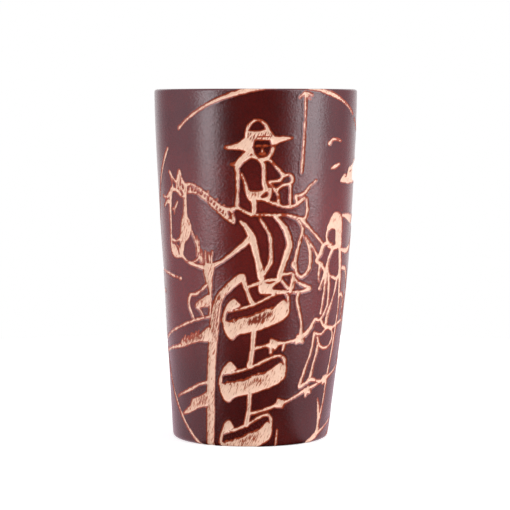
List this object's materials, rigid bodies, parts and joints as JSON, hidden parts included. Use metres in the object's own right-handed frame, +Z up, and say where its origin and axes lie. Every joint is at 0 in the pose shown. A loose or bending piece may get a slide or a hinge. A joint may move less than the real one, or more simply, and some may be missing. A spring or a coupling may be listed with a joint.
{
  "type": "dice cup",
  "caption": "Tapered leather dice cup: a carved, laced outer wall, a thin lining sleeve and a stacked leather base, open at the mouth for shaking and throwing dice.",
  "frame": {"origin": "on the plane that the cup stands on, straight below the centre of the mouth", "axes": "+Z up through the mouth; -Y is the carved front and +Y the laced joint; the foot leans towards -X"},
  "size_m": [0.067, 0.0685, 0.115],
  "materials": {
    "dyed_carved_leather": "vegetable-tanned leather, dyed oxblood and waxed to a soft gloss, with carved lines left pale",
    "sole_leather": "firm undyed sole leather, matt",
    "lining_suede": "thin suede, flesh side inwards, matt",
    "waxed_thread": "twisted linen thread, waxed",
    "pad_felt": "pressed wool felt, matt"
  },
  "bodies": {
    "root": {"outer_wall": "dyed_carved_leather", "seam_backing": "sole_leather", "seam_thread_under": "waxed_thread", "seam_thread_over": "waxed_thread", "lining": "lining_suede", "base_sole": "sole_leather", "base_plug": "sole_leather", "base_pad": "pad_felt"}
  },
  "joints": []
}
